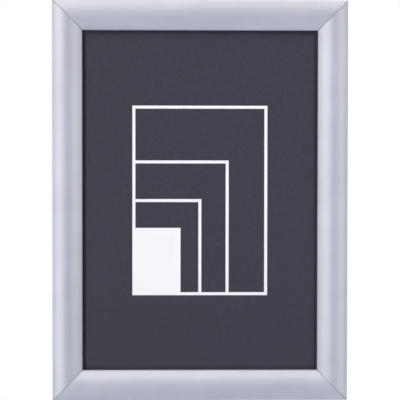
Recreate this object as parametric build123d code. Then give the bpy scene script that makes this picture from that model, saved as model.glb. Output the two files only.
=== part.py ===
from build123d import *

import os
from math import hypot, sqrt

# A snap-open poster frame for one standard sheet, hung upright on a wall.
# +Z is up, +X is to the right and the front faces -Y. The back lies in the plane y = 0.
# The origin is in that plane, midway between the four wall screws.
#
# Every rail is drawn as a section: across is measured inwards from the outer edge of the frame,
# and height is measured out from the wall. The section is extruded along X and its ends are mitred.
# The whole frame is built lying on its back, and is stood up when each piece is written.

# The sheet that the frame holds, and the face of the frame
sheet_width = 297.0
sheet_height = 420.0
sheet_cover = 10.0
rail_face = 35.0
overrun = 1.0

# What lies in the pocket, from the wall outwards
panel_thickness = 1.0
poster_thickness = 0.2
cover_thickness = 0.5
pocket_clearance = 0.4
upstand_above_panel = 0.4

# Walls of the base rail
web_thickness = 1.3
outer_wall = 1.2
inner_wall = 1.2
flange_setback = 1.0

# Hinge: a round bead on the front rail turns in a curled socket on the base rail
bead_radius = 1.5
bead_clearance = 0.06
socket_wall = 1.0
hinge_height = 6.5
neck_thickness = 1.0
open_angle = 90.0
mouth_margin_angle = 26.0
swing_clearance = 0.3

# Leg of the front rail: a riser from the bead's neck to the dome, with a groove that the springs sit in
riser_reach = 2.9
seat_drop = 1.35
seat_wall = 0.8
seat_start_angle = 35.0
seat_wrap_angle = 190.0
leg_end_relief = 1.0

# Dome and lip of the front rail; the crown of the dome lies nearer to the outer edge
dome_radius = 26.0
crown_across = 15.2
skin_wall = 1.2
skin_inset = 0.3
open_clearance = 0.35
edge_round = 0.4
lip_wall = 1.3
lip_round = 1.8
lip_foot = 2.2
lip_clearance = 0.1
mitre_gap = 0.3

# Turns, in degrees
quarter_angle = 90.0
full_angle = 360.0

# Corner keys, which slide into channels between the outer wall and the key wall
key_leg = 45.0
key_clearance = 0.07
key_hook_reach = 0.9
key_hook_wall = 0.9
key_round = 1.5

# Stakes: dents punched in the back of the web, whose bosses lock into holes in the keys
stake_radius = 1.4
stake_tip_radius = 0.9
stake_depth = 0.9
stake_clearance = 0.1
stake_from_leg_end = 9.0

# Leaf springs, each between the groove of a front rail and the hooked post of a base rail
spring_length = 38.0
spring_thickness = 0.5
spring_roll_radius = 0.45
spring_bow = 1.7
spring_clearance = 0.1
post_place_share = 0.245
post_below_dome = 1.84
post_hook_reach = 1.4
post_hook_wall = 1.0
spring_place_share = 0.28

# Wall screws, in the land of the two upright base rails
screw_hole = 4.5
screw_spacing_up = 320.0

# The frame as a whole
frame_width = sheet_width + 2 * (rail_face - sheet_cover)
frame_height = sheet_height + 2 * (rail_face - sheet_cover)

# Heights of the stack of sheets
poster_floor = web_thickness + panel_thickness
cover_floor = poster_floor + poster_thickness
cover_face = cover_floor + cover_thickness
lip_floor = cover_face + lip_clearance

# The hinge: its axis lies so that the curl is flush with the outer wall
socket_bore = bead_radius + bead_clearance
socket_radius = socket_bore + socket_wall
hinge_across = socket_radius

# The leg, and how far from the hinge it sweeps
riser_across = hinge_across + riser_reach
riser_inner = riser_across + neck_thickness
seat_bore = spring_roll_radius + spring_clearance
seat_across = riser_inner + seat_bore
seat_height = hinge_height - seat_drop
leg_swing = hypot(seat_across - hinge_across, seat_drop) + seat_bore + seat_wall

# The channel for the corner keys, between the web and the curl
key_thickness = hinge_height - socket_radius - web_thickness - 2 * key_clearance
key_hook_across = hinge_across + leg_swing + swing_clearance
key_wall_across = key_hook_across + key_hook_reach
key_hook_floor = web_thickness + key_thickness + 2 * key_clearance
key_hook_top = key_hook_floor + key_hook_wall
key_middle = (outer_wall + key_wall_across) / 2
stake_place = key_leg - stake_from_leg_end

# The dome: an arc over the whole rail, whose crown sets the frame's depth
# Its outer edge stands so high that it clears the outer wall when the rail is open
outer_edge_floor = hinge_height + hinge_across + open_clearance
outer_edge_rise = sqrt((dome_radius - skin_wall) ** 2 - (crown_across - skin_inset) ** 2)
dome_centre = outer_edge_floor - outer_edge_rise
frame_depth = dome_centre + dome_radius
lip_top = dome_centre + sqrt(dome_radius**2 - (rail_face - crown_across) ** 2)

# The pocket, the post and the land for the screws
pocket_across = rail_face - sheet_cover - pocket_clearance
upstand_across = pocket_across - inner_wall
upstand_top = poster_floor + upstand_above_panel
key_wall_inner = key_wall_across + inner_wall
post_across = key_wall_inner + post_place_share * (upstand_across - key_wall_inner)
post_inner = post_across + inner_wall
post_top = frame_depth - skin_wall - post_below_dome
screw_across = (post_inner + upstand_across) / 2
screw_spacing_wide = frame_width - 2 * screw_across

# Each side in its turn, with the corner at its start
sides = (
    ("bottom", "bottom_left"),
    ("right", "bottom_right"),
    ("top", "top_right"),
    ("left", "top_left"),
)
upright_sides = ("left", "right")
standing = (Align.CENTER, Align.CENTER, Align.MIN)


def bar(across, height, across_to, height_to):
    """A rectangle between two corners of a section."""
    size = Rectangle(across_to - across, height_to - height, align=(Align.MIN, Align.MIN))
    return Pos(across, height) * size


def run(section, length):
    """A section extruded along X, centred on X = 0."""
    return extrude(Plane.YZ * section, amount=length / 2, both=True)


def mitred(section, length, setback):
    """A section extruded along X, with both ends cut at 45 degrees and set back from the corner."""
    outer = length / 2 - setback + overrun
    inner = outer - rail_face - 2 * overrun
    outline = Polyline(
        (-outer, -overrun),
        (outer, -overrun),
        (inner, rail_face + overrun),
        (-inner, rail_face + overrun),
        close=True,
    )
    return run(section, length) & extrude(make_face(outline), amount=frame_depth + overrun)


def hinge_socket():
    """The curl of the base rail: a ring left open for the neck over its whole swing."""
    arc = CenterArc(
        (hinge_across, hinge_height),
        socket_bore + socket_wall / 2,
        open_angle + mouth_margin_angle,
        full_angle - open_angle - 2 * mouth_margin_angle,
    )
    return trace(arc, socket_wall)


def base_section():
    """Section of a base rail: web, outer wall and curl, key channel, hooked post and upstand."""
    web = bar(0, 0, rail_face - flange_setback, web_thickness)
    wall = bar(0, 0, outer_wall, hinge_height)
    wall -= Pos(hinge_across, hinge_height) * Circle(socket_bore)
    key_wall = bar(key_wall_across, 0, key_wall_inner, key_hook_top)
    key_hook = bar(key_hook_across, key_hook_floor, key_wall_inner, key_hook_top)
    post = bar(post_across, 0, post_inner, post_top)
    post_hook = bar(post_across - post_hook_reach, post_top - post_hook_wall, post_inner, post_top)
    upstand = bar(upstand_across, 0, pocket_across, upstand_top)
    return web + wall + hinge_socket() + key_wall + key_hook + post + post_hook + upstand


def skin_section():
    """The dome of a front rail and the lip that turns down to the sheet."""
    centre = Pos(crown_across, dome_centre)
    ring = centre * (Circle(dome_radius) - Circle(dome_radius - skin_wall))
    dome = ring & bar(skin_inset, lip_floor, rail_face, frame_depth + overrun)
    dome = fillet(dome.vertices().sort_by(Axis.X)[:2].sort_by(Axis.Y)[-1], edge_round)
    skin = dome + bar(rail_face - lip_wall, lip_floor, rail_face, lip_top)
    skin = fillet(skin.vertices().sort_by(Axis.X)[-2:].sort_by(Axis.Y)[-1], lip_round)
    return skin + bar(rail_face - lip_foot, lip_floor, rail_face, lip_floor + lip_wall)


def leg_section():
    """Under the dome: the hinge bead, its neck, the riser to the dome and the groove for the springs."""
    bead = Pos(hinge_across, hinge_height) * Circle(bead_radius)
    neck_floor = hinge_height - neck_thickness / 2
    neck = bar(hinge_across, neck_floor, riser_inner, neck_floor + neck_thickness)
    dome_over_riser = dome_centre + sqrt(dome_radius**2 - (crown_across - riser_across) ** 2)
    riser = bar(riser_across, seat_height, riser_inner, dome_over_riser - skin_wall / 2)
    seat = CenterArc(
        (seat_across, seat_height),
        seat_bore + seat_wall / 2,
        seat_start_angle,
        seat_wrap_angle,
    )
    return bead + neck + riser + trace(seat, seat_wall)


def spring_section():
    """A bowed leaf with rolled edges, from the groove of the front rail to the hook of the post."""
    seat = Vector(seat_across, seat_height)
    hook = Vector(post_across - seat_bore, post_top - post_hook_wall - seat_bore)
    chord = hook - seat
    bow = Vector(chord.Y, -chord.X).normalized() * spring_bow
    leaf = SlotArc(ThreePointArc(seat, (seat + hook) / 2 + bow, hook), spring_thickness)
    rolls = [Pos(*end) * Circle(spring_roll_radius) for end in (seat, hook)]
    return leaf + rolls


def base_rail(length, drilled):
    """A base rail, staked to its corner keys; the upright ones are drilled for the wall screws."""
    rail = mitred(base_section(), length, 0)
    stake = Cone(stake_radius, stake_tip_radius, stake_depth, align=standing)
    for place in (stake_place - length / 2, length / 2 - stake_place):
        rail += Pos(place, key_middle, web_thickness) * stake
        rail -= Pos(place, key_middle, 0) * stake
    if drilled:
        hole = Cylinder(screw_hole / 2, web_thickness + 2 * overrun)
        for place in (-screw_spacing_up / 2, screw_spacing_up / 2):
            rail -= Pos(place, screw_across, web_thickness / 2) * hole
    return rail


def front_rail(length):
    """A front rail; its leg stops short of the corners, so that it can swing past its neighbours."""
    leg_length = length - 2 * (hinge_across + leg_swing + leg_end_relief)
    return mitred(skin_section(), length, mitre_gap / sqrt(2)) + run(leg_section(), leg_length)


def corner_key():
    """An L-shaped key for the corner at X = 0, Y = 0, with its legs along +X and +Y."""
    near = outer_wall + key_clearance
    far = key_wall_across - key_clearance
    outline = bar(near, near, key_leg, far) + bar(near, near, far, key_leg)
    ends = outline.vertices().sort_by(Axis.X)[-2:] + outline.vertices().sort_by(Axis.Y)[-2:]
    outline = fillet(ends, key_round)
    for place in ((stake_place, key_middle), (key_middle, stake_place)):
        outline -= Pos(*place) * Circle(stake_radius + stake_clearance)
    return Pos(0, 0, web_thickness + key_clearance) * extrude(outline, amount=key_thickness)


def sheet(thickness, floor):
    """A sheet of the standard size, centred on the frame, with its back at a height."""
    return Pos(0, 0, floor) * Box(sheet_width, sheet_height, thickness, align=standing)


def write(shape, name):
    """Stand a piece up with the frame and write it."""
    export_step(Rot(quarter_angle, 0, 0) * shape, f"parts/{name}.step")


def write_side(side, corner, turn):
    """Write the rails and springs of one side, and the key at the corner where it starts."""
    upright = side in upright_sides
    length, across = (frame_height, frame_width) if upright else (frame_width, frame_height)
    place = turn * Pos(0, -across / 2, 0)
    write(place * base_rail(length, upright), f"base_rail_{side}")
    write(place * front_rail(length), f"front_rail_{side}")
    write(place * Pos(-length / 2, 0, 0) * corner_key(), f"corner_key_{corner}")
    spring = run(spring_section(), spring_length)
    for number, share in ((1, -spring_place_share), (2, spring_place_share)):
        write(place * Pos(share * length, 0, 0) * spring, f"spring_{side}_{number}")


def main():
    os.makedirs("parts", exist_ok=True)
    for quarter, (side, corner) in enumerate(sides):
        write_side(side, corner, Rot(0, 0, quarter_angle * quarter))
    write(sheet(panel_thickness, web_thickness), "back_panel")
    write(sheet(poster_thickness, poster_floor), "poster")
    write(sheet(cover_thickness, cover_floor), "cover_sheet")


main()
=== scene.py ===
from math import acos, asin, cos, pi, radians, sin

import bmesh
import bpy
from mathutils import Matrix, Vector


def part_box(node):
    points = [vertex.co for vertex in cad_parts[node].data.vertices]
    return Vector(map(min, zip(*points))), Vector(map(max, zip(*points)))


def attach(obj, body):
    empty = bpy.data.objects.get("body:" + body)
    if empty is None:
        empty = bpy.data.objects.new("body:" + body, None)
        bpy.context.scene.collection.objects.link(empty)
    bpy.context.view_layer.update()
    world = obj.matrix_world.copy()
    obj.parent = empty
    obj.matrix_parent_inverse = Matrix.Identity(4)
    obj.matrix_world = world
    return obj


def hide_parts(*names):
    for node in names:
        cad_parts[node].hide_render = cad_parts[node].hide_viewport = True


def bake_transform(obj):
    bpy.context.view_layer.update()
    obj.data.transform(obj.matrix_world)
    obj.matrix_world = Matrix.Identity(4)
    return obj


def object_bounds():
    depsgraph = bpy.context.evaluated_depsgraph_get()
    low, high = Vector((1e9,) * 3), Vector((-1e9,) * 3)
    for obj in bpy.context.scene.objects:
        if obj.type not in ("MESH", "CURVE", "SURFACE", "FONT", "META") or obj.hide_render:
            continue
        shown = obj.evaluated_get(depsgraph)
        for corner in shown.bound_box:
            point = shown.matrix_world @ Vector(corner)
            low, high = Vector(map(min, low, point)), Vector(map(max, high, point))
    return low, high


# The looks of a snap-open poster frame: matt silver rails round a dark printed sheet under a clear cover.
# Everything is in metres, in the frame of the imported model. Up is +Z and the front faces -Y.

MM = 0.001
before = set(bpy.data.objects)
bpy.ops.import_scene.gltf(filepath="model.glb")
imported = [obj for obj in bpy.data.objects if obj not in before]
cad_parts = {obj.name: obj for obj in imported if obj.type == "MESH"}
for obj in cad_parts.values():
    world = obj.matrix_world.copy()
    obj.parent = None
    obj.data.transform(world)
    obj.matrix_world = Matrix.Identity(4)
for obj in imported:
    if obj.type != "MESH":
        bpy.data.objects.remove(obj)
cad_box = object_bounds()


# The camera, whose angles are in degrees

CAMERA_PLACE = (-0.0252, -1.5, 0.0335)
CAMERA_TURN = -0.962
CAMERA_TILT = -1.255
CAMERA_ROLL = 0.06
SENSOR_WIDTH = 36.0
LENS = 114.3
NEAR_CLIP = 0.05
FAR_CLIP = 50.0


def make_camera():
    """A long lens almost straight on to the frame, a little above and to the left of its middle."""
    data = bpy.data.cameras.new("camera")
    data.sensor_width = SENSOR_WIDTH
    data.lens = LENS
    data.clip_start = NEAR_CLIP
    data.clip_end = FAR_CLIP
    camera = bpy.data.objects.new("camera", data)
    turn = Matrix.Rotation(radians(CAMERA_TURN), 4, "Z")
    tip = Matrix.Rotation(radians(90 + CAMERA_TILT), 4, "X")
    roll = Matrix.Rotation(radians(CAMERA_ROLL), 4, "Z")
    camera.matrix_world = Matrix.Translation(CAMERA_PLACE) @ turn @ tip @ roll
    bpy.context.scene.collection.objects.link(camera)
    bpy.context.scene.camera = camera


make_camera()


# Helpers for materials

# Most of a noise's values lie in this span
NOISE_SPAN = {"From Min": 0.3, "From Max": 0.7}

# The sockets of a Mix node that blends two colours
FIRST, SECOND, BLEND = 6, 7, 2


def rgb(hex_colour):
    """An sRGB hex colour as the linear colour that a shader wants."""
    channels = [int(hex_colour[i:i + 2], 16) / 255 for i in (1, 3, 5)]
    return [c / 12.92 if c <= 0.04045 else ((c + 0.055) / 1.055) ** 2.4 for c in channels] + [1.0]


def add(tree, kind, settings=None, inputs=None):
    """A node with its settings. An input's value is a number or colour, or the socket to link it to."""
    node = tree.nodes.new(kind)
    for key, value in (settings or {}).items():
        setattr(node, key, value)
    for key, value in (inputs or {}).items():
        if isinstance(value, bpy.types.NodeSocket):
            tree.links.new(value, node.inputs[key])
        else:
            node.inputs[key].default_value = value
    return node


def new_material(name):
    """An empty material and its node tree."""
    material = bpy.data.materials.new(name)
    material.use_nodes = True
    material.node_tree.nodes.clear()
    return material, material.node_tree


def pattern_place(tree, pitch, lean=0.0):
    """Object coordinates, in steps of a pitch given for each axis in millimetres.

    A pattern on the sheets may lean to one side, by an angle in degrees."""
    return add(tree, "ShaderNodeMapping", {"vector_type": "TEXTURE"}, {
        "Vector": add(tree, "ShaderNodeTexCoord").outputs["Object"],
        "Rotation": (0.0, radians(lean), 0.0),
        "Scale": [MM * size for size in pitch]}).outputs["Vector"]


# Anodised aluminium, with its sizes in millimetres

DIE_LINE_PITCH = 0.7
DIE_LINE_LENGTH = 60.0
ETCH_GRAIN = 0.5
TONE_DRIFT = 30.0
RELIEF_DEPTH = 0.03

# Along a mitre, a point is this much further above or below the frame's middle than beside it
MITRE_OFFSET = (cad_box[1][2] - cad_box[1][0]) / MM
# How far to each side of a mitre's cut the painted seam shade reaches, in millimetres
SEAM_SHADE_REACH = 0.34


def painted_seam_shade(tree):
    """One along the cuts of the mitres, a quarter of a millimetre to each side, where shade in the seams is
    painted, and nothing elsewhere.
    """
    size = add(tree, "ShaderNodeVectorMath", {"operation": "ABSOLUTE"}, {
        0: pattern_place(tree, (1.0, 1.0, 1.0))}).outputs[0]
    axes = add(tree, "ShaderNodeSeparateXYZ", inputs={"Vector": size}).outputs
    beside = add(tree, "ShaderNodeMath", {"operation": "SUBTRACT"}, {0: axes["Z"], 1: axes["X"]}).outputs[0]
    return add(tree, "ShaderNodeMath", {"operation": "COMPARE"}, {
        0: beside, 1: MITRE_OFFSET, 2: SEAM_SHADE_REACH}).outputs[0]


def anodised_extrusion(name, bright, dull, run_axis, roughness):
    """Aluminium, extruded, etched matt and anodised clear: a soft grey shine with faint lines along the rail.

    The lines come from the die. Real ones are some 0.1 mm apart, and are drawn 0.7 mm apart to show.
    The etch leaves a fine grain, drawn at 0.5 mm, and the tone drifts a little over some 30 mm.
    Along the cuts of the mitres a darker grey is painted, as the shade in the seams."""
    material, tree = new_material(name)
    pitch = [DIE_LINE_LENGTH if axis == run_axis else DIE_LINE_PITCH for axis in "XYZ"]
    lines = add(tree, "ShaderNodeTexNoise", inputs={
        "Vector": pattern_place(tree, pitch), "Scale": 1.0, "Detail": 2.0}).outputs["Fac"]
    grain = add(tree, "ShaderNodeTexNoise", inputs={
        "Vector": pattern_place(tree, [ETCH_GRAIN] * 3), "Scale": 1.0, "Detail": 1.0}).outputs["Fac"]
    drift = add(tree, "ShaderNodeTexNoise", inputs={
        "Vector": pattern_place(tree, [TONE_DRIFT] * 3), "Scale": 1.0, "Detail": 1.0}).outputs["Fac"]
    slow_tone = add(tree, "ShaderNodeMapRange", inputs={
        "Value": drift, **NOISE_SPAN, "To Max": 0.5}).outputs[0]
    tone = add(tree, "ShaderNodeMath", {"operation": "MULTIPLY_ADD"}, {
        0: lines, 1: 0.5, 2: slow_tone}).outputs[0]
    relief = add(tree, "ShaderNodeMath", {"operation": "MULTIPLY_ADD"}, {
        0: grain, 1: 0.4, 2: lines}).outputs[0]
    bump = add(tree, "ShaderNodeBump", inputs={
        "Strength": 0.1, "Distance": RELIEF_DEPTH * MM, "Height": relief})
    finish = add(tree, "ShaderNodeMix", {"data_type": "RGBA"}, {
        "Factor": tone, FIRST: rgb(dull), SECOND: rgb(bright)}).outputs[BLEND]
    # Painted shade: a darker grey along the seams of the mitres
    colour = add(tree, "ShaderNodeMix", {"data_type": "RGBA"}, {
        "Factor": painted_seam_shade(tree), FIRST: finish, SECOND: rgb("#838389")}).outputs[BLEND]
    matt = add(tree, "ShaderNodeMapRange", inputs={
        "Value": grain, **NOISE_SPAN, "To Min": roughness - 0.03, "To Max": roughness + 0.03}).outputs[0]
    metal = add(tree, "ShaderNodeBsdfPrincipled", inputs={
        "Base Color": colour, "Metallic": 1.0, "Roughness": matt, "Normal": bump.outputs["Normal"]})
    add(tree, "ShaderNodeOutputMaterial", inputs={"Surface": metal.outputs["BSDF"]})
    return material


# Steel, with its sizes in millimetres

ZINC_CRYSTAL = 4.0
ROLLING_LINE_PITCH = 0.5
ROLLING_LINE_LENGTH = 30.0
TEMPER_DRIFT = 12.0


def galvanised_steel():
    """Steel, stamped and hot-dip galvanised: flat grey crystals some 4 mm wide, each with its own shine."""
    material, tree = new_material("galvanised_steel")
    crystals = add(tree, "ShaderNodeTexVoronoi", {"feature": "F1"}, {
        "Vector": pattern_place(tree, [ZINC_CRYSTAL] * 3), "Scale": 1.0}).outputs["Color"]
    crystal = add(tree, "ShaderNodeSeparateColor", inputs={"Color": crystals}).outputs["Red"]
    colour = add(tree, "ShaderNodeMix", {"data_type": "RGBA"}, {
        "Factor": crystal, FIRST: rgb("#A9ACAF"), SECOND: rgb("#C4C7C9")}).outputs[BLEND]
    shine = add(tree, "ShaderNodeMapRange", inputs={
        "Value": crystal, "To Min": 0.32, "To Max": 0.5}).outputs[0]
    metal = add(tree, "ShaderNodeBsdfPrincipled", inputs={
        "Base Color": colour, "Metallic": 1.0, "Roughness": shine})
    add(tree, "ShaderNodeOutputMaterial", inputs={"Surface": metal.outputs["BSDF"]})
    return material


def tempered_strip(name, run_axis):
    """Spring steel, rolled and tempered: bright, faintly straw-coloured, with rolling lines along the strip.

    The lines are some 0.05 mm apart on the real strip, and are drawn 0.5 mm apart to show. The temper colour
    drifts over some 12 mm."""
    material, tree = new_material(name)
    pitch = [ROLLING_LINE_LENGTH if axis == run_axis else ROLLING_LINE_PITCH for axis in "XYZ"]
    lines = add(tree, "ShaderNodeTexNoise", inputs={
        "Vector": pattern_place(tree, pitch), "Scale": 1.0, "Detail": 1.0}).outputs["Fac"]
    drift = add(tree, "ShaderNodeTexNoise", inputs={
        "Vector": pattern_place(tree, [TEMPER_DRIFT] * 3), "Scale": 1.0, "Detail": 1.0}).outputs["Fac"]
    temper = add(tree, "ShaderNodeMapRange", inputs={
        "Value": drift, **NOISE_SPAN, "To Max": 0.6}).outputs[0]
    tone = add(tree, "ShaderNodeMath", {"operation": "MULTIPLY_ADD"}, {
        0: lines, 1: 0.4, 2: temper}).outputs[0]
    colour = add(tree, "ShaderNodeMix", {"data_type": "RGBA"}, {
        "Factor": tone, FIRST: rgb("#B0AA9D"), SECOND: rgb("#B9B8B4")}).outputs[BLEND]
    shine = add(tree, "ShaderNodeMapRange", inputs={
        "Value": lines, **NOISE_SPAN, "To Min": 0.3, "To Max": 0.36}).outputs[0]
    metal = add(tree, "ShaderNodeBsdfPrincipled", inputs={
        "Base Color": colour, "Metallic": 1.0, "Roughness": shine})
    add(tree, "ShaderNodeOutputMaterial", inputs={"Surface": metal.outputs["BSDF"]})
    return material


# The plastic sheets, with their sizes in millimetres

ORANGE_PEEL = 3.0
PEEL_DEPTH = 0.05
MATT_GRAIN = 0.8
STRAIGHT_GLOSS = 0.01
DUST_SPACING = 16.0
DUST_RADIUS = 0.48
DUST_GLOSS = 0.05
RUB_WIDTH = 1.6
RUB_LENGTH = 90.0
RUB_LEAN = 7.0
RUB_GLOSS = 0.01


def polystyrene_sheet():
    """White polystyrene, extruded as sheet: an even soft white with a shallow orange peel some 3 mm wide."""
    material, tree = new_material("polystyrene_sheet")
    peel = add(tree, "ShaderNodeTexNoise", inputs={
        "Vector": pattern_place(tree, [ORANGE_PEEL] * 3), "Scale": 1.0, "Detail": 1.0}).outputs["Fac"]
    bump = add(tree, "ShaderNodeBump", inputs={
        "Strength": 0.15, "Distance": PEEL_DEPTH * MM, "Height": peel})
    tone = add(tree, "ShaderNodeMapRange", inputs={"Value": peel, **NOISE_SPAN}).outputs[0]
    colour = add(tree, "ShaderNodeMix", {"data_type": "RGBA"}, {
        "Factor": tone, FIRST: rgb("#E6E6E3"), SECOND: rgb("#EBEBE9")}).outputs[BLEND]
    plastic = add(tree, "ShaderNodeBsdfPrincipled", inputs={
        "Base Color": colour, "Roughness": 0.45, "IOR": 1.59, "Normal": bump.outputs["Normal"]})
    add(tree, "ShaderNodeOutputMaterial", inputs={"Surface": plastic.outputs["BSDF"]})
    return material


def cover_gloss(tree):
    """How much of the light the clear sheet throws back: 1% straight on, and all of it along the sheet."""
    slant = add(tree, "ShaderNodeLayerWeight", inputs={"Blend": 0.5}).outputs["Facing"]
    rise = add(tree, "ShaderNodeMath", {"operation": "POWER"}, {0: slant, 1: 5.0}).outputs[0]
    gloss = add(tree, "ShaderNodeMath", {"operation": "MULTIPLY_ADD"}, {
        0: rise, 1: 1.0 - STRAIGHT_GLOSS, 2: STRAIGHT_GLOSS}).outputs[0]
    cells = add(tree, "ShaderNodeTexVoronoi", {"feature": "F1"}, {
        "Vector": pattern_place(tree, [DUST_SPACING] * 3), "Scale": 1.0}).outputs["Distance"]
    dust = add(tree, "ShaderNodeMath", {"operation": "LESS_THAN"}, {
        0: cells, 1: DUST_RADIUS / DUST_SPACING}).outputs[0]
    streaks = add(tree, "ShaderNodeTexNoise", inputs={
        "Vector": pattern_place(tree, (RUB_WIDTH, RUB_WIDTH, RUB_LENGTH), RUB_LEAN),
        "Scale": 1.0, "Detail": 0.0}).outputs["Fac"]
    rubs = add(tree, "ShaderNodeMapRange", inputs={
        "Value": streaks, "From Min": 0.72, "From Max": 0.8, "To Max": RUB_GLOSS}).outputs[0]
    gloss = add(tree, "ShaderNodeMath", {"operation": "MULTIPLY_ADD"}, {
        0: dust, 1: DUST_GLOSS, 2: gloss}).outputs[0]
    return add(tree, "ShaderNodeMath", {"operation": "ADD"}, {0: rubs, 1: gloss}).outputs[0]


def clear_matt_sheet():
    """Clear plastic, calendered with one matt side: the print shows through under a thin even haze.

    Specks of dust up to 1 mm wide, some 16 mm apart, and fine upright rub marks catch a little more light."""
    material, tree = new_material("clear_matt_sheet")
    grain = add(tree, "ShaderNodeTexNoise", inputs={
        "Vector": pattern_place(tree, [MATT_GRAIN] * 3), "Scale": 1.0, "Detail": 1.0}).outputs["Fac"]
    matt = add(tree, "ShaderNodeMapRange", inputs={
        "Value": grain, **NOISE_SPAN, "To Min": 0.3, "To Max": 0.36}).outputs[0]
    clear = add(tree, "ShaderNodeBsdfTransparent", inputs={"Color": rgb("#FDFDFD")}).outputs["BSDF"]
    haze = add(tree, "ShaderNodeBsdfGlossy", inputs={
        "Color": rgb("#FFFFFF"), "Roughness": matt}).outputs["BSDF"]
    sheet = add(tree, "ShaderNodeMixShader", inputs={0: cover_gloss(tree), 1: clear, 2: haze})
    add(tree, "ShaderNodeOutputMaterial", inputs={"Surface": sheet.outputs["Shader"]})
    return material


# The printed sheet, with its sizes in millimetres

# A chart of standard sheets, each half the one before, as outlines round a solid sheet
PRINT_LEFT = -78.0
PRINT_FLOOR = -110.0
PRINT_HEIGHT = 220.0
PRINT_LINE = 3.6
PRINT_STEPS = 3
SHEET_SHAPE = 2 ** 0.5

# The painted shadow of the lips: a darker margin on the ink, inside the part of the sheet that shows between
# the rails
HIDDEN_EDGE = 10.0
LIP_SHADOW_WIDTH = 4.2
LIP_SHADOW_FADE = 0.8

PAPER_MOTTLE = 1.5
PAPER_DEPTH = 0.02


def beyond_rectangle(tree, place, left, floor, width, height):
    """How far a point of the sheet lies outside a rectangle, in millimetres; it is negative inside."""
    middle = (left + width / 2, 0.0, floor + height / 2)
    half = (width / 2, 0.0, height / 2)
    offset = add(tree, "ShaderNodeVectorMath", {"operation": "SUBTRACT"}, {0: place, 1: middle}).outputs[0]
    size = add(tree, "ShaderNodeVectorMath", {"operation": "ABSOLUTE"}, {0: offset}).outputs[0]
    beyond = add(tree, "ShaderNodeVectorMath", {"operation": "SUBTRACT"}, {0: size, 1: half}).outputs[0]
    axes = add(tree, "ShaderNodeSeparateXYZ", inputs={"Vector": beyond}).outputs
    return add(tree, "ShaderNodeMath", {"operation": "MAXIMUM"}, {0: axes["X"], 1: axes["Z"]}).outputs[0]


def print_mask(tree, place):
    """One where the chart is printed white, and nothing elsewhere."""
    height = PRINT_HEIGHT / SHEET_SHAPE ** PRINT_STEPS
    beyond = beyond_rectangle(tree, place, PRINT_LEFT, PRINT_FLOOR, height / SHEET_SHAPE, height)
    mask = add(tree, "ShaderNodeMath", {"operation": "LESS_THAN"}, {0: beyond, 1: 0.0}).outputs[0]
    for step in range(PRINT_STEPS):
        height = PRINT_HEIGHT / SHEET_SHAPE ** step
        beyond = beyond_rectangle(tree, place, PRINT_LEFT, PRINT_FLOOR, height / SHEET_SHAPE, height)
        line = add(tree, "ShaderNodeMath", {"operation": "COMPARE"}, {
            0: beyond, 1: 0.0, 2: PRINT_LINE / 2}).outputs[0]
        mask = add(tree, "ShaderNodeMath", {"operation": "MAXIMUM"}, {0: mask, 1: line}).outputs[0]
    return mask


def painted_lip_shadow(tree, place, ink):
    """The ink's colour with the lips' shadow painted on: darker along the edges of the shown part, and
    darkest down the left.
    """
    low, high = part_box("poster")
    width, height = ((size / MM) - 2 * (HIDDEN_EDGE + LIP_SHADOW_WIDTH) for size in (high.x - low.x, high.z - low.z))
    beyond = beyond_rectangle(tree, place, -width / 2, -height / 2, width, height)
    shadow_all_round = add(tree, "ShaderNodeMapRange", inputs={
        "Value": beyond, "From Min": -LIP_SHADOW_FADE, "From Max": LIP_SHADOW_FADE}).outputs[0]
    across = add(tree, "ShaderNodeSeparateXYZ", inputs={"Vector": place}).outputs["X"]
    shadow_down_left = add(tree, "ShaderNodeMapRange", inputs={
        "Value": across, "From Min": -width / 2 - LIP_SHADOW_FADE, "From Max": -width / 2 + LIP_SHADOW_FADE,
        "To Min": 1.0, "To Max": 0.0}).outputs[0]
    # Painted shadow of the lips: darker all round the shown part, and darkest down the left
    ink = add(tree, "ShaderNodeMix", {"data_type": "RGBA"}, {
        "Factor": shadow_all_round, FIRST: ink, SECOND: rgb("#33333C")}).outputs[BLEND]
    return add(tree, "ShaderNodeMix", {"data_type": "RGBA"}, {
        "Factor": shadow_down_left, FIRST: ink, SECOND: rgb("#28282F")}).outputs[BLEND]


def printed_paper():
    """Coated paper, printed matt: an even anthracite with a faint mottle, and a white chart.

    Paper fibres are some 0.1 mm wide, and the mottle that they give is drawn at 1.5 mm to show."""
    material, tree = new_material("printed_paper")
    mottle = add(tree, "ShaderNodeTexNoise", inputs={
        "Vector": pattern_place(tree, [PAPER_MOTTLE] * 3), "Scale": 1.0, "Detail": 3.0}).outputs["Fac"]
    tone = add(tree, "ShaderNodeMapRange", inputs={"Value": mottle, **NOISE_SPAN}).outputs[0]
    ink = add(tree, "ShaderNodeMix", {"data_type": "RGBA"}, {
        "Factor": tone, FIRST: rgb("#3A3A43"), SECOND: rgb("#44444D")}).outputs[BLEND]
    place = pattern_place(tree, (1.0, 1.0, 1.0))
    # The ink carries the painted shadow of the lips along the edges of the shown part
    colour = add(tree, "ShaderNodeMix", {"data_type": "RGBA"}, {
        "Factor": print_mask(tree, place), FIRST: painted_lip_shadow(tree, place, ink),
        SECOND: rgb("#FEFEFD")}).outputs[BLEND]
    bump = add(tree, "ShaderNodeBump", inputs={
        "Strength": 0.1, "Distance": PAPER_DEPTH * MM, "Height": mottle})
    paper = add(tree, "ShaderNodeBsdfPrincipled", inputs={
        "Base Color": colour, "Roughness": 0.8, "Specular IOR Level": 0.2, "Normal": bump.outputs["Normal"]})
    add(tree, "ShaderNodeOutputMaterial", inputs={"Surface": paper.outputs["BSDF"]})
    return material


# The pieces that keep their CAD shape

def run_axis_of(side):
    """The axis that the rails of a side run along."""
    return "Z" if side in ("left", "right") else "X"


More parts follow.
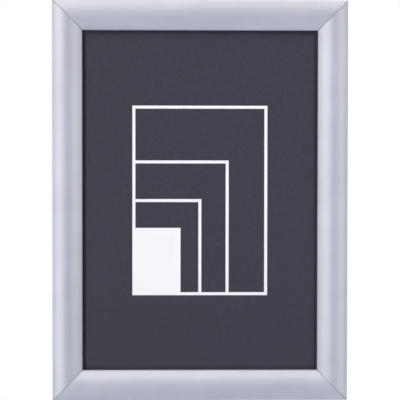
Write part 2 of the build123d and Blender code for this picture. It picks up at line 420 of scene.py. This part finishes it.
def dress_frame():
    """Gives each piece of the frame its finish, and each rail the lines that run along it."""
    front_finish = {
        axis: anodised_extrusion(f"satin_anodised_aluminium_{axis.lower()}", "#D4D5DC", "#CBCCD3", axis, 0.62)
        for axis in "XZ"}
    base_finish = {
        axis: anodised_extrusion(f"plain_anodised_aluminium_{axis.lower()}", "#BFC0C6", "#B5B6BB", axis, 0.5)
        for axis in "XZ"}
    steel, plastic, paper = galvanised_steel(), polystyrene_sheet(), printed_paper()
    for name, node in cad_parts.items():
        words = name.split("_")
        axis = run_axis_of(words[-1])
        finish = {
            "front": front_finish[axis],
            "base": base_finish[axis],
            "corner": steel,
            "back": plastic,
            "poster": paper,
        }.get(words[0])
        if finish:
            for place in node.material_slots:
                place.material = finish


dress_frame()


# The leaf springs, drawn as a section in across and height from the frame's edge, in millimetres

SEAT = Vector((7.01, 5.15))
HOOK = Vector((13.458, 10.995))
LEAF_THICKNESS = 0.5
LEAF_BOW = 1.7
LEAF_EDGE = 0.08
ROLL_RADIUS = 0.45
LEAF_STEPS = 16
ROLL_STEPS = 14
WELD_DISTANCE = 0.02

# A face is at an end of a leaf where its normal lies this much along the leaf
END_FACING = 0.9


def new_piece(name, mesh, material):
    """A bmesh made into an object with its material."""
    data = bpy.data.meshes.new(name)
    mesh.to_mesh(data)
    mesh.free()
    data.materials.append(material)
    piece = bpy.data.objects.new(name, data)
    bpy.context.scene.collection.objects.link(piece)
    return piece


def draw_out(mesh, length):
    """Makes a flat shape solid, by drawing its faces out along Z."""
    drawn = bmesh.ops.extrude_face_region(mesh, geom=mesh.faces[:])["geom"]
    moved = [item for item in drawn if isinstance(item, bmesh.types.BMVert)]
    bmesh.ops.translate(mesh, verts=moved, vec=(0, 0, length))


def spin_point(mesh, start, centre, angle, steps):
    """A chain of edges from a vertex round a centre; gives its last vertex."""
    made = bmesh.ops.spin(
        mesh, geom=[start], cent=(*centre, 0.0), axis=(0.0, 0.0, 1.0), angle=angle, steps=steps,
        use_duplicate=False)
    return next(item for item in made["geom_last"] if isinstance(item, bmesh.types.BMVert))


def leaf_section():
    """The section of a leaf: a bowed strip with a round roll at each end."""
    chord = HOOK - SEAT
    bow_way = Vector((chord.y, -chord.x)).normalized()
    radius = (chord.length ** 2 / 4 + LEAF_BOW ** 2) / (2 * LEAF_BOW)
    centre = (SEAT + HOOK) / 2 + bow_way * (LEAF_BOW - radius)
    turn = 1 if (SEAT - centre).cross(HOOK - centre) > 0 else -1
    roll_mouth = asin(LEAF_THICKNESS / 2 / ROLL_RADIUS)
    inset = ROLL_RADIUS * cos(roll_mouth) / radius
    sweep = turn * (2 * acos((radius - LEAF_BOW) / radius) - 2 * inset)
    roll = turn * (2 * pi - 2 * roll_mouth)
    out = Matrix.Rotation(turn * inset, 2) @ (SEAT - centre).normalized()
    mesh = bmesh.new()
    point = mesh.verts.new((*(centre + out * (radius + LEAF_THICKNESS / 2)), 0.0))
    point = spin_point(mesh, point, centre, sweep, LEAF_STEPS)
    point = spin_point(mesh, point, HOOK, roll, ROLL_STEPS)
    point = spin_point(mesh, point, centre, -sweep, LEAF_STEPS)
    spin_point(mesh, point, SEAT, roll, ROLL_STEPS)
    bmesh.ops.remove_doubles(mesh, verts=mesh.verts[:], dist=WELD_DISTANCE)
    bmesh.ops.contextual_create(mesh, geom=mesh.edges[:])
    return mesh


def side_place(side, middle):
    """Turns a section drawn in across, height and run, in millimetres, to its side of the frame."""
    across, edge = {
        "left": (Vector((1, 0, 0)), Vector((cad_box[0][0], 0, middle.z))),
        "right": (Vector((-1, 0, 0)), Vector((cad_box[1][0], 0, middle.z))),
        "bottom": (Vector((0, 0, 1)), Vector((middle.x, 0, cad_box[0][2]))),
        "top": (Vector((0, 0, -1)), Vector((middle.x, 0, cad_box[1][2]))),
    }[side]
    height = Vector((0, -1, 0))
    turn = Matrix((across, height, across.cross(height))).transposed().to_4x4()
    return Matrix.Translation(edge) @ turn @ Matrix.Scale(MM, 4)


def make_leaf(side, node, finish):
    """A leaf spring, which bends between the post of its base rail and the groove of its front rail."""
    low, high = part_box(node)
    length = max(high.x - low.x, high.z - low.z) / MM
    mesh = leaf_section()
    draw_out(mesh, length)
    bmesh.ops.translate(mesh, verts=mesh.verts[:], vec=(0, 0, -length / 2))
    bmesh.ops.recalc_face_normals(mesh, faces=mesh.faces[:])
    rims = {edge for face in mesh.faces if abs(face.normal.z) > END_FACING for edge in face.edges}
    bmesh.ops.bevel(
        mesh, geom=list(rims), offset=LEAF_EDGE, segments=2, affect="EDGES", profile=0.5, material=-1)
    for face in mesh.faces:
        face.smooth = abs(face.normal.z) < END_FACING
    place = side_place(side, (low + high) / 2)
    bmesh.ops.transform(mesh, matrix=place, verts=mesh.verts[:])
    leaf = new_piece(f"leaf_{node}", mesh, finish)
    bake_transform(leaf)
    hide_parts(node)


def make_leaves():
    """Two leaves to a side, with their rolling lines along the rail."""
    finish = {axis: tempered_strip(f"tempered_spring_steel_{axis.lower()}", axis) for axis in "XZ"}
    for side in ("left", "right", "bottom", "top"):
        for number in (1, 2):
            make_leaf(side, f"spring_{side}_{number}", finish[run_axis_of(side)])


make_leaves()


# The clear cover, with its sizes in millimetres

COVER_LIFT = 0.05
COVER_CORNER = 1.2
COVER_CORNER_STEPS = 5


def make_cover():
    """The clear sheet over the print, cut with round corners; it lies a hair's breadth off the print."""
    low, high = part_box("cover_sheet")
    width, height, thickness = high.x - low.x, high.z - low.z, high.y - low.y - COVER_LIFT * MM
    mesh = bmesh.new()
    bmesh.ops.create_grid(mesh, x_segments=1, y_segments=1, size=0.5)
    bmesh.ops.scale(mesh, verts=mesh.verts[:], vec=(width, height, 1.0))
    bmesh.ops.bevel(
        mesh, geom=mesh.verts[:], offset=COVER_CORNER * MM, segments=COVER_CORNER_STEPS,
        affect="VERTICES", profile=0.5, material=-1)
    draw_out(mesh, thickness)
    bmesh.ops.recalc_face_normals(mesh, faces=mesh.faces[:])
    place = Matrix.Translation((0, low.y + thickness, (low.z + high.z) / 2)) @ Matrix.Rotation(pi / 2, 4, "X")
    bmesh.ops.transform(mesh, matrix=place, verts=mesh.verts[:])
    cover = new_piece("clear_cover", mesh, clear_matt_sheet())
    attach(cover, "base_frame")
    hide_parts("cover_sheet")


make_cover()


# The floor

FLOOR_LEVEL = -0.3
FLOOR_RADIUS = 0.36
FADE_RADIUS = 0.2


def make_floor():
    """A pale round of floor under the frame, which fades out at its edge and hides nothing from below."""
    material, tree = new_material("pale_floor")
    place = add(tree, "ShaderNodeTexCoord").outputs["Object"]
    distance = add(tree, "ShaderNodeVectorMath", {"operation": "LENGTH"}, {0: place}).outputs["Value"]
    at_edge = add(tree, "ShaderNodeMapRange", inputs={
        "Value": distance, "From Min": FADE_RADIUS, "From Max": FLOOR_RADIUS}).outputs[0]
    under = add(tree, "ShaderNodeNewGeometry").outputs["Backfacing"]
    fade = add(tree, "ShaderNodeMath", {"operation": "MAXIMUM"}, {0: at_edge, 1: under}).outputs[0]
    paint = add(tree, "ShaderNodeBsdfDiffuse", inputs={"Color": rgb("#D3D7E1")}).outputs["BSDF"]
    clear = add(tree, "ShaderNodeBsdfTransparent").outputs["BSDF"]
    surface = add(tree, "ShaderNodeMixShader", inputs={0: fade, 1: paint, 2: clear}).outputs["Shader"]
    add(tree, "ShaderNodeOutputMaterial", inputs={"Surface": surface})
    mesh = bmesh.new()
    bmesh.ops.create_circle(mesh, cap_ends=True, segments=64, radius=FLOOR_RADIUS)
    floor = new_piece("floor", mesh, material)
    floor.location = (0.0, 0.0, FLOOR_LEVEL)


# The light

# Softboxes: angles to the right and up in degrees, distance and size in metres, power in watts, tint
SOFTBOXES = [
    ("left", (-50, 0), 2.28, (0.7, 1.0), 3.6, "#FFFFFF"),
    ("right", (44, 0), 1.3, (0.4, 0.56), 1.55, "#FFFFFF"),
    ("low", (0, -65), 1.0, (0.5, 0.5), 5.6, "#E0E4FF"),
    ("upper_left", (-50, 40), 2.0, (0.7, 0.7), 6.6, "#FFFFFF"),
    ("upper_right", (50, 40), 2.0, (0.7, 0.7), 4.6, "#FFFFFF"),
    ("lower_right", (50, -40), 2.0, (0.7, 0.7), 5.2, "#F4F4FF"),
    ("lower_left", (-50, -40), 2.0, (0.7, 0.7), 3.9, "#F0F1FF"),
    ("ahead", (4, 0), 2.1, (1.2, 1.8), 1.55, "#556BFF"),
]

# The room that the rails mirror: glows with their angle and half width in degrees and their level, where 1 is
# white. Angles run to the right from straight ahead, and up. Straight ahead the room stays dark, as where a
# photographer stands between two windows.
GLOWS_AROUND = [
    (-74, 15, 1.5), (-32, 12, 5.15), (40, 12, 1.8), (64, 22, 0.9), (180, 95, 1.45), (-180, 95, 1.45)]
GLOWS_ABOVE = [(45, 17, 0.54), (61, 15, 2.6), (76, 14, 0.24)]

# The glows around fade between these angles above and below the level
BAND_FULL = 25
BAND_EDGE = 45

# How straight backwards a mirrored ray goes where it starts to find the white background, and all of it
WHITE_STARTS = 0.6
WHITE_FULL = 0.9


def make_softbox(name, angles, distance, size, power, tint):
    """A soft lamp round the frame, aimed at its middle."""
    data = bpy.data.lights.new(f"{name}_softbox", "AREA")
    data.shape = "RECTANGLE"
    data.size, data.size_y = size
    data.energy = power
    data.color = rgb(tint)[:3]
    lamp = bpy.data.objects.new(data.name, data)
    around, above = (radians(angle) for angle in angles)
    place = distance * Vector((sin(around) * cos(above), -cos(around) * cos(above), sin(above)))
    turn = place.to_track_quat("Z", "Y").to_matrix().to_4x4()
    lamp.matrix_world = Matrix.Translation(place) @ turn
    bpy.context.scene.collection.objects.link(lamp)


def glow(tree, angle, middle, half_width, level):
    """Light that is strongest at one angle and falls off evenly to both sides of it."""
    off = add(tree, "ShaderNodeMath", {"operation": "SUBTRACT"}, {0: angle, 1: middle}).outputs[0]
    off = add(tree, "ShaderNodeMath", {"operation": "ABSOLUTE"}, {0: off}).outputs[0]
    return add(tree, "ShaderNodeMapRange", inputs={
        "Value": off, "From Min": 0.0, "From Max": half_width, "To Min": level, "To Max": 0.0}).outputs[0]


def all_together(tree, parts):
    """The sum of some levels of light."""
    total = parts[0]
    for part in parts[1:]:
        total = add(tree, "ShaderNodeMath", {"operation": "ADD"}, {0: total, 1: part}).outputs[0]
    return total


def room_light(tree, axes):
    """The glows of the room, by the way that a ray goes."""
    ahead = add(tree, "ShaderNodeMath", {"operation": "MULTIPLY"}, {0: axes["Y"], 1: -1.0}).outputs[0]
    around = add(tree, "ShaderNodeMath", {"operation": "ARCTAN2"}, {0: axes["X"], 1: ahead}).outputs[0]
    above = add(tree, "ShaderNodeMath", {"operation": "ARCSINE"}, {0: axes["Z"]}).outputs[0]
    around, above = (
        add(tree, "ShaderNodeMath", {"operation": "DEGREES"}, {0: angle}).outputs[0]
        for angle in (around, above))
    tilt = add(tree, "ShaderNodeMath", {"operation": "ABSOLUTE"}, {0: above}).outputs[0]
    band = add(tree, "ShaderNodeMapRange", inputs={
        "Value": tilt, "From Min": BAND_FULL, "From Max": BAND_EDGE, "To Min": 1.0, "To Max": 0.0}).outputs[0]
    level = all_together(tree, [glow(tree, around, *each) for each in GLOWS_AROUND])
    level = add(tree, "ShaderNodeMath", {"operation": "MULTIPLY"}, {0: level, 1: band}).outputs[0]
    return all_together(tree, [level] + [glow(tree, above, *each) for each in GLOWS_ABOVE])


def make_surroundings():
    """White to the camera and straight behind the frame, and round it the room that the rails mirror."""
    world = bpy.data.worlds.new("room")
    world.use_nodes = True
    tree = world.node_tree
    tree.nodes.clear()
    axes = add(tree, "ShaderNodeSeparateXYZ", inputs={
        "Vector": add(tree, "ShaderNodeTexCoord").outputs["Generated"]}).outputs
    behind = add(tree, "ShaderNodeMapRange", {"interpolation_type": "SMOOTHSTEP"}, {
        "Value": axes["Y"], "From Min": WHITE_STARTS, "From Max": WHITE_FULL}).outputs[0]
    rays = add(tree, "ShaderNodeLightPath").outputs
    mirrored = add(tree, "ShaderNodeMath", {"operation": "MAXIMUM"}, {
        0: rays["Is Glossy Ray"], 1: rays["Is Transmission Ray"]}).outputs[0]
    mirrored_behind = add(tree, "ShaderNodeMath", {"operation": "MULTIPLY"}, {
        0: mirrored, 1: behind}).outputs[0]
    white = add(tree, "ShaderNodeMath", {"operation": "MAXIMUM"}, {
        0: rays["Is Camera Ray"], 1: mirrored_behind}).outputs[0]
    light = add(tree, "ShaderNodeMix", {"data_type": "FLOAT"}, {
        0: white, 2: room_light(tree, axes), 3: 1.0}).outputs[0]
    background = add(tree, "ShaderNodeBackground", inputs={
        "Color": rgb("#FFFFFF"), "Strength": light}).outputs["Background"]
    add(tree, "ShaderNodeOutputWorld", inputs={"Surface": background})
    bpy.context.scene.world = world


make_floor()
for softbox in SOFTBOXES:
    make_softbox(*softbox)
make_surroundings()
bpy.context.scene.view_settings.view_transform = "Standard"
